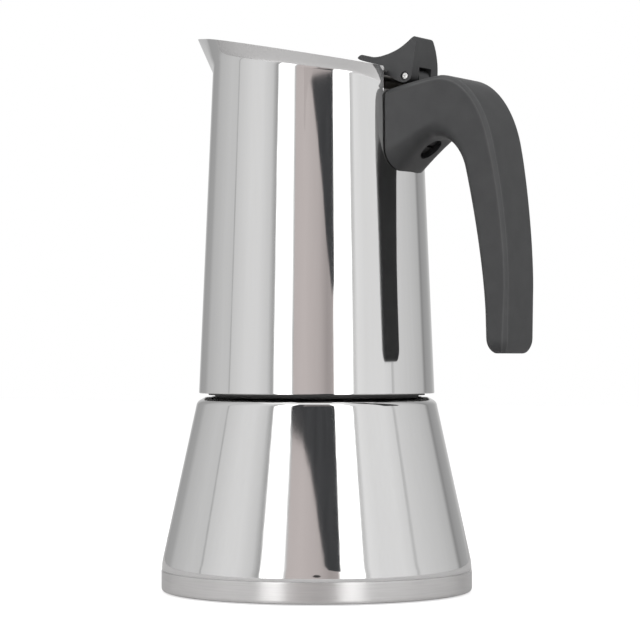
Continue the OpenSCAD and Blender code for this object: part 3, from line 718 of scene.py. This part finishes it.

# The spring is a coil of steel wire
valve_z = 32
valve_tilt = math.radians(cone_lean)
valve_way = Vector((0, math.cos(valve_tilt), math.sin(valve_tilt)))
valve_foot = Vector((0, cone_r(valve_z), valve_z)) * MM
coil_r, wire_r, coil_turns = 2.15, 0.25, 4
coil_low, coil_high = 2.55, 5.65
deselect()
bpy.ops.mesh.primitive_circle_add(vertices=12, radius=wire_r * MM)
spring = bpy.context.object
spring.name = spring.data.name = "valve_coil"
for corner in spring.data.vertices:
    out, up = corner.co.xy
    corner.co = (coil_r * MM + out, 0, coil_low * MM + up)
wind = spring.modifiers.new("wind", "SCREW")
wind.angle = coil_turns * 2 * math.pi
wind.screw_offset = (coil_high - coil_low) * MM
wind.steps = wind.render_steps = coil_turns * 36
bpy.ops.object.modifier_apply(modifier=wind.name)
bpy.ops.object.mode_set(mode="EDIT")
bpy.ops.mesh.select_all(action="DESELECT")
bpy.ops.mesh.select_non_manifold()
bpy.ops.mesh.fill_holes(sides=0)
bpy.ops.mesh.select_all(action="SELECT")
bpy.ops.mesh.normals_make_consistent(inside=False)
bpy.ops.object.mode_set(mode="OBJECT")
bpy.ops.object.shade_smooth_by_angle(angle=math.radians(40))
spring.data.transform(aimed(valve_foot, valve_way, side="X"))
finished(spring, inner_steel, "boiler", "valve_spring")
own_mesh(spring)

# ---- Handle ----
# One moulding in matt dark grey plastic that covers the steel lug on the shell. A screw from below
# the arm holds it. Its sides are flat, the outer edges chamfered and the inner ones soft.


def moulded(name, dark, light):
    """Matt moulded plastic: spark-eroded grain, soft mottling, and edges painted a little lighter as painted
    highlight lines.
    """
    f = Finish(bpy.data.materials.new(name))
    grain = f.noise(0.00045, 2)
    mottle = f.noise(0.006, 4)
    broad = f.noise(0.03, 2)
    tone = f.spread(mottle * 0.6 + broad * 0.4, 0.38, 0.62)
    # Painted highlight lines along the chamfer edges, read from a point attribute.
    rubbed = f.node("ShaderNodeAttribute", {"attribute_name": "rubbed"}, {}, "Fac")
    colour = f.blend(f.node("ShaderNodeClamp", {}, {"Value": rubbed * 0.8 + tone * 0.2}),
                     (*dark, 1), tuple(v * 5 - d * 4 for v, d in zip(light, dark)) + (1,))
    rough = f.spread(broad, 0.35, 0.65, 0.38, 0.46) + grain * 0.06
    bump = f.node("ShaderNodeBump", {}, {"Height": grain, "Strength": 0.35, "Distance": 0.00006})
    return f.skin(Base_Color=colour, Roughness=rough, Normal=bump)


# The lighter colour gives the mottling's light end and the painted highlight lines on the edges.
dark_plastic, mottle_and_highlight_plastic = (0.024, 0.0245, 0.0255), (0.031, 0.0315, 0.0325)
arm_high, arm_low = rim_z - 13.95, rim_z - 40.35
crest_z, grip_low = rim_z - 10.25, rim_z - 99.95
wall_x = wall_r(arm_high) + 0.05
crest_out, grip_reach, grip_deep = 18, 77, 8
grip_half, crest_half, arm_half = 10, 11.2, 13.4
grip_in = grip_reach - grip_deep
throat_out, throat_up = 11.6, 9.6
crest_at, spine_at = 0.25, 0.6


def bend(a, b, c, d, t):
    """The point at t of the curve from a to d that b and c pull."""
    return a * (1 - t) ** 3 + b * 3 * t * (1 - t) ** 2 + c * 3 * t * t * (1 - t) + d * t ** 3


crest = Vector((wall_x + crest_out, crest_z))
spine = Vector((grip_reach - 4.6, crest_z - 23.7))
heel = Vector((grip_reach, grip_low + 18.8))
throat = Vector((wall_x + throat_out, arm_low + throat_up))
palm = Vector((wall_x + 26.7, arm_low + 0.2))
palm_end = Vector((grip_in, grip_low + 10.8))


def back(t):
    """The outer line of the handle, from the wall over the crest and down the grip."""
    if t < crest_at:
        u = t / crest_at
        return Vector((wall_x + crest_out * u, arm_high + (crest_z - arm_high) * (u * 1.35 - 0.35 * u ** 3)))
    if t < spine_at:
        return bend(crest, crest + Vector((10, -0.4)), spine + Vector((-2.3, 12.6)), spine,
                    (t - crest_at) / (spine_at - crest_at))
    return bend(spine, spine + Vector((1.7, -7.7)), heel + Vector((0.5, 17)), heel,
                (t - spine_at) / (1 - spine_at))


def under(t):
    """The inner line, from the wall along the underside of the arm and down the grip."""
    if t < crest_at:
        return Vector((wall_x, arm_low)).lerp(throat, t / crest_at)
    if t < spine_at:
        return bend(throat, throat + Vector((3.7, 2.8)), palm + Vector((-2.5, 9.2)), palm,
                    (t - crest_at) / (spine_at - crest_at))
    return bend(palm, palm + Vector((2.3, -11.5)), palm_end + Vector((-0.9, 16)), palm_end,
                (t - spine_at) / (1 - spine_at))


def grip_width(t):
    """Half the width of the handle at t of its length: widest at the wall, narrowing to the grip."""
    k = max(0, min(1, (0.95 - t) / 0.45))
    near = max(0, 1 - t / crest_at)
    return grip_half + (crest_half - grip_half) * k * k * (3 - 2 * k) + (arm_half - crest_half) * near ** 1.5


def grip_stations():
    """Inner point, outer point, half width, lean of the sides and closeness to the wall, along the handle."""
    made = []
    # At the wall the edge of the moulding is rounded, and its end follows the wall
    edge_r = 0.6
    for t, near in ((0, 1), (0.0015, 1), (0.004, 1), (0.008, 0.99), (0.014, 0.98), (0.026, 0.94),
                    (0.045, 0.86), (0.08, 0.62), (0.13, 0.3), (0.19, 0.05), (0.235, 0)):
        off = max(0, edge_r - crest_out * t / crest_at)
        pull = edge_r - math.sqrt(max(0, edge_r ** 2 - off ** 2))
        made.append((under(t) + Vector((0, pull * 0.3)), back(t) - Vector((0, pull)), grip_width(t) - pull,
                     max(0, 1 - t / crest_at), near))
    free = [crest_at + (spine_at - crest_at) * k / 26 for k in range(26)]
    free += [spine_at + (1 - spine_at) * k / 18 for k in range(18)]
    made += [(under(t), back(t), grip_width(t), 0, 0) for t in free]
    end_r = 5
    for k in range(11):
        turn = k / 10 * math.pi / 2
        pull = 1 - math.cos(turn)
        z = grip_low + end_r - end_r * math.sin(turn)
        made.append((Vector((grip_in + 0.1 + pull * 2.6, z)), Vector((grip_reach - 0.2 - pull * 2.6, z)),
                     grip_half - pull * 3, 0, 0))
    return made


# Each step of a chamfer: its share in from the face, its share in from the side, how strong its painted
# highlight is
chamfer_steps = ((0.01, 1, 0.35), (0.06, 0.82, 1), (0.18, 0.64, 0.3), (0.64, 0.18, 0.3), (0.82, 0.06, 1),
                 (1, 0.01, 0.35))


def grip_loop(station):
    """One section of the handle: chamfered outer corners and soft inner corners."""
    low, high, wide, lean, near = station
    across = high - low
    deep = across.length
    stout = max(0, min(1, (deep - 11) / 12))
    soft = min(1.6 + 4.4 * stout + 1.2 * near, deep * 0.32)
    chamfer = min(1.6 + 0.5 * near, deep * 0.24)
    half = [(deep, wide * 0.4), (deep, wide - chamfer - 0.35)]
    half += [(deep - chamfer * inward, wide - chamfer * aside) for inward, aside, _ in chamfer_steps]
    half += [(deep - chamfer - 0.35, wide), (deep * 0.5, wide), (soft + 0.5, wide)]
    half += [(soft - soft * math.sin(k * math.pi / 16), wide - soft + soft * math.cos(k * math.pi / 16))
             for k in range(9)]
    half.append((0, wide * 0.3))
    made = []
    for d, w in half + [(d, -w) for d, w in reversed(half)]:
        x, z = low + across * d / deep
        w *= 1 - lean * d / deep / wide
        on_wall = math.sqrt((wall_r(z) + 0.3) ** 2 - w * w)
        made.append((x + (on_wall - wall_x) * near, w, z))
    return made


stations = grip_stations()
grip = rolled("handle_moulding", stations, grip_loop, joined=False)
# The chamfers follow the first two points of each section, and carry painted highlight lines clear of the
# wall and the end
highlight_edges = {}
for station in stations[8:-3]:
    loop = grip_loop(station)
    for k, (_, _, highlight_share) in enumerate(chamfer_steps, 2):
        for corner in (loop[k], loop[-1 - k]):
            highlight_edges[tuple(round(v, 2) for v in corner)] = highlight_share


def pick(piece):
    """Makes a piece the only one that an operator acts on."""
    deselect()
    piece.select_set(True)
    bpy.context.view_layer.objects.active = piece


def block(name, low, high):
    """A box between two corners in mm, used to cut another piece."""
    deselect()
    bpy.ops.mesh.primitive_cube_add(size=1)
    cutter = bpy.context.object
    cutter.name = name
    low, high = Vector(low) * MM, Vector(high) * MM
    for corner in cutter.data.vertices:
        corner.co = [(low, high)[corner.co[i] > 0][i] for i in range(3)]
    return cutter


def rod(name, radius, start, end, sides=64):
    """A cylinder between two points in mm."""
    deselect()
    start, end = Vector(start) * MM, Vector(end) * MM
    bpy.ops.mesh.primitive_cylinder_add(vertices=sides, radius=radius * MM, depth=(end - start).length)
    made = bpy.context.object
    made.name = name
    made.matrix_world = aimed((start + end) / 2, end - start)
    bpy.ops.object.transform_apply()
    return made


def cut(piece, *tools, operation="DIFFERENCE"):
    """Cuts the tools out of the piece, or does what the operation says, and takes the tools away."""
    pick(piece)
    for tool in tools:
        change = piece.modifiers.new("cut", "BOOLEAN")
        change.operation = operation
        change.object = tool
        change.solver = "EXACT"
        bpy.ops.object.modifier_apply(modifier=change.name)
        bpy.data.objects.remove(tool)
    bpy.ops.object.shade_smooth_by_angle(angle=math.radians(35))


pin_x, pin_z, pin_r = 39, rim_z - 9.55, 1.0
knuckle_r, knuckle_half = 2.6, 3.5
screw_lean = math.atan2(throat_up, throat_out)
screw_foot = Vector((wall_x + throat_out * 0.75, 0, arm_low + throat_up * 0.75))
screw_way = Vector((-math.sin(screw_lean), 0, math.cos(screw_lean)))
cut(grip, rod("screw_recess", 4.2, screw_foot - screw_way * 6, screw_foot + screw_way * 3.6))
knuckle = rod("hinge_knuckle", knuckle_r, (pin_x, -knuckle_half, pin_z), (pin_x, knuckle_half, pin_z))
cut(knuckle, block("knuckle_neck", (pin_x - knuckle_r, -knuckle_half, arm_high - 1),
                   (pin_x + knuckle_r, knuckle_half, pin_z)), operation="UNION")
cut(knuckle, rod("pin_bore", pin_r, (pin_x, -9, pin_z), (pin_x, 9, pin_z)))
cut(grip, knuckle, operation="UNION")
# The chamfer edges are marked for painted highlight lines.
rubbed = grip.data.attributes.new("rubbed", "FLOAT", "POINT")
for corner in grip.data.vertices:
    rubbed.data[corner.index].value = highlight_edges.get(tuple(round(v / MM, 2) for v in corner.co), 0)
handle_plastic = moulded("handle_plastic", dark_plastic, mottle_and_highlight_plastic)
finished(grip, handle_plastic, "collector", "handle_grip")
# The screw is painted nearly black, as painted shade in its recess.
refinished(dull("shaded_screw_steel", (0.03, 0.03, 0.03), (0.06, 0.06, 0.06), 0.42, 0.55), "handle_screw")
refinished(inner_steel, "handle_bracket")

# ---- Lid ----
# A spun steel disc, slightly domed, that lies inside the lip. The plastic thumb lever is riveted on
# and turns on a steel pin through the knuckle on top of the handle.

rim_turn = Matrix.Translation((0, 0, rim_z * MM)) @ Matrix.Rotation(math.radians(rim_lean), 4, "Y")
lid_r, lid_dome, lid_wall = 35.0, 1.2, 0.8
dome = [(lid_r * k / 12, -lid_dome * k * k / 144) for k in range(13)]
lid_edge = [(lid_r, -1.6), (lid_r - 0.2, -lid_dome - lid_wall)]
lid = turned("lid_disc", dome + lid_edge + [(r, z - lid_wall) for r, z in reversed(dome[:-1])], 128)
lid.data.transform(rim_turn)
cutout_x, cutout_half = 31.2, 9.24
cut(lid, block("lever_cutout", (cutout_x, -cutout_half, rim_z - 30),
               (cutout_x + 20, cutout_half, rim_z + 10)))
finished(lid, steel, "lid", "lid_plate")
lid.data.materials.append(stain_and_shade)
for face in lid.data.polygons:
    if face.normal.z < -0.5:
        face.material_index = 1


def softened(piece, width, steps, limit):
    """Rounds the edges of a piece that turn by more than the limit."""
    pick(piece)
    soften = piece.modifiers.new("soft_edges", "BEVEL")
    soften.width = width * MM
    soften.segments = steps
    soften.limit_method = "ANGLE"
    soften.angle_limit = math.radians(limit)
    bpy.ops.object.modifier_apply(modifier=soften.name)
    bpy.ops.object.shade_smooth_by_angle(angle=math.radians(35))


# The lever's side, as (out, up) from the pin
lever_side = [(-18.4, 7.1), (-17.9, 7.75), (-17.1, 8.05), (-15.8, 7.8), (-13.4, 7.1), (-11.1, 6.95),
              (-8.8, 7.25), (-5.9, 8.05), (-3, 9.35), (-0.6, 11.15), (0.8, 12.5), (1.7, 13.1), (2.4, 12.9),
              (2.8, 12.1), (3.1, 9), (3.1, 5), (2.8, 1.5), (2.4, -0.8), (1.4, -1.65), (0.4, -2.05),
              (-0.6, -2.1), (-1.7, -1.8), (-3.3, -1.1), (-4.9, -0.25), (-6.5, 0.55), (-7.7, 1),
              (-7.7, 2.95), (-9.2, 3.95), (-13.1, 5.05), (-16.3, 5.95), (-17.9, 6.6)]
lever_tall = 13.1


def through(points):
    """A smooth closed line through the points, with two more between each pair."""
    done = []
    steps = 3
    count = len(points)
    for i in range(count):
        a, b, c, d = (Vector(points[(i + k) % count]) for k in (-1, 0, 1, 2))
        for k in range(steps):
            t = k / steps
            done.append(tuple(0.5 * (2 * b + (c - a) * t + (2 * a - 5 * b + 4 * c - d) * t * t
                                     + (3 * b - a - 3 * c + d) * t ** 3)))
    return done


def prism(name, outline, axis, start, end):
    """A prism of a closed outline in mm: the outline lies square to the X or Y axis and runs along it."""
    deselect()
    bpy.ops.mesh.primitive_circle_add(vertices=len(outline), radius=0.01, fill_type="NGON")
    made = bpy.context.object
    made.name = made.data.name = name
    for corner, (u, z) in zip(made.data.vertices, outline):
        corner.co = Vector((u, start, z) if axis == "Y" else (start, u, z)) * MM
    way = Vector((0, end - start, 0) if axis == "Y" else (end - start, 0, 0)) * MM
    bpy.ops.object.mode_set(mode="EDIT")
    bpy.ops.mesh.select_all(action="SELECT")
    bpy.ops.mesh.extrude_region_move(TRANSFORM_OT_translate={"value": way})
    bpy.ops.mesh.select_all(action="SELECT")
    bpy.ops.mesh.normals_make_consistent(inside=False)
    bpy.ops.object.mode_set(mode="OBJECT")
    return made


def lever_half(drop):
    """Half the width of the lever at a depth below its top."""
    u = drop / lever_tall
    return 5.4 + 3.24 * u * (1.7 - 0.7 * u)


lever = prism("thumb_lever", [(pin_x + x, pin_z + z) for x, z in through(lever_side)], "Y", -20, 20)
flank = [(lever_half(drop), pin_z + lever_tall - drop) for drop in (-1 + k * 0.6 for k in range(30))]
cut(lever, prism("lever_flanks", flank + [(-y, z) for y, z in reversed(flank)], "X", 0, 60),
    operation="INTERSECT")
softened(lever, width=0.5, steps=3, limit=50)
ear = lever_half(lever_tall)
slot_half, ring_deep = 3.9, 0.6
cut(lever, block("knuckle_slot", (pin_x - 3.1, -slot_half, pin_z - 5), (pin_x + 9, slot_half, pin_z + 3.1)),
    rod("pin_hole", pin_r + 0.08, (pin_x, -20, pin_z), (pin_x, 20, pin_z)),
    rod("near_ring", 1.45, (pin_x, -ear - 3, pin_z), (pin_x, ring_deep - ear, pin_z)),
    rod("far_ring", 1.45, (pin_x, ear - ring_deep, pin_z), (pin_x, ear + 3, pin_z)))
lever_plastic = moulded("lever_plastic", dark_plastic, mottle_and_highlight_plastic)
finished(lever, lever_plastic, "lid", "lid_lever")


def pin_steel():
    """Bright drawn steel with a finely turned end."""
    f = Finish(bpy.data.materials.new("pin_steel"))
    lines = f.noise(0.0003, 3, scale=(1, 0.05, 1))
    colour = f.blend(lines, (0.78, 0.78, 0.77, 1), (0.88, 0.88, 0.87, 1))
    bump = f.node("ShaderNodeBump", {}, {"Height": lines, "Strength": 0.08, "Distance": 0.0001})
    return f.skin(Base_Color=colour, Metallic=1.0, Roughness=lines * 0.1 + 0.2, Normal=bump)


bright = pin_steel()
pin_end, centre_r, centre_deep = ear - 0.3, 0.28, 0.3
pin = rod("hinge_pin_rod", pin_r, (pin_x, -pin_end, pin_z), (pin_x, pin_end, pin_z), 48)
softened(pin, width=0.1, steps=2, limit=60)
cut(pin, rod("near_centre", centre_r, (pin_x, -ear - 1, pin_z), (pin_x, centre_deep - pin_end, pin_z), 24),
    rod("far_centre", centre_r, (pin_x, pin_end - centre_deep, pin_z), (pin_x, ear + 1, pin_z), 24))
finished(pin, bright, "collector", "hinge_pin")
refinished(bright, "lid_rivet")
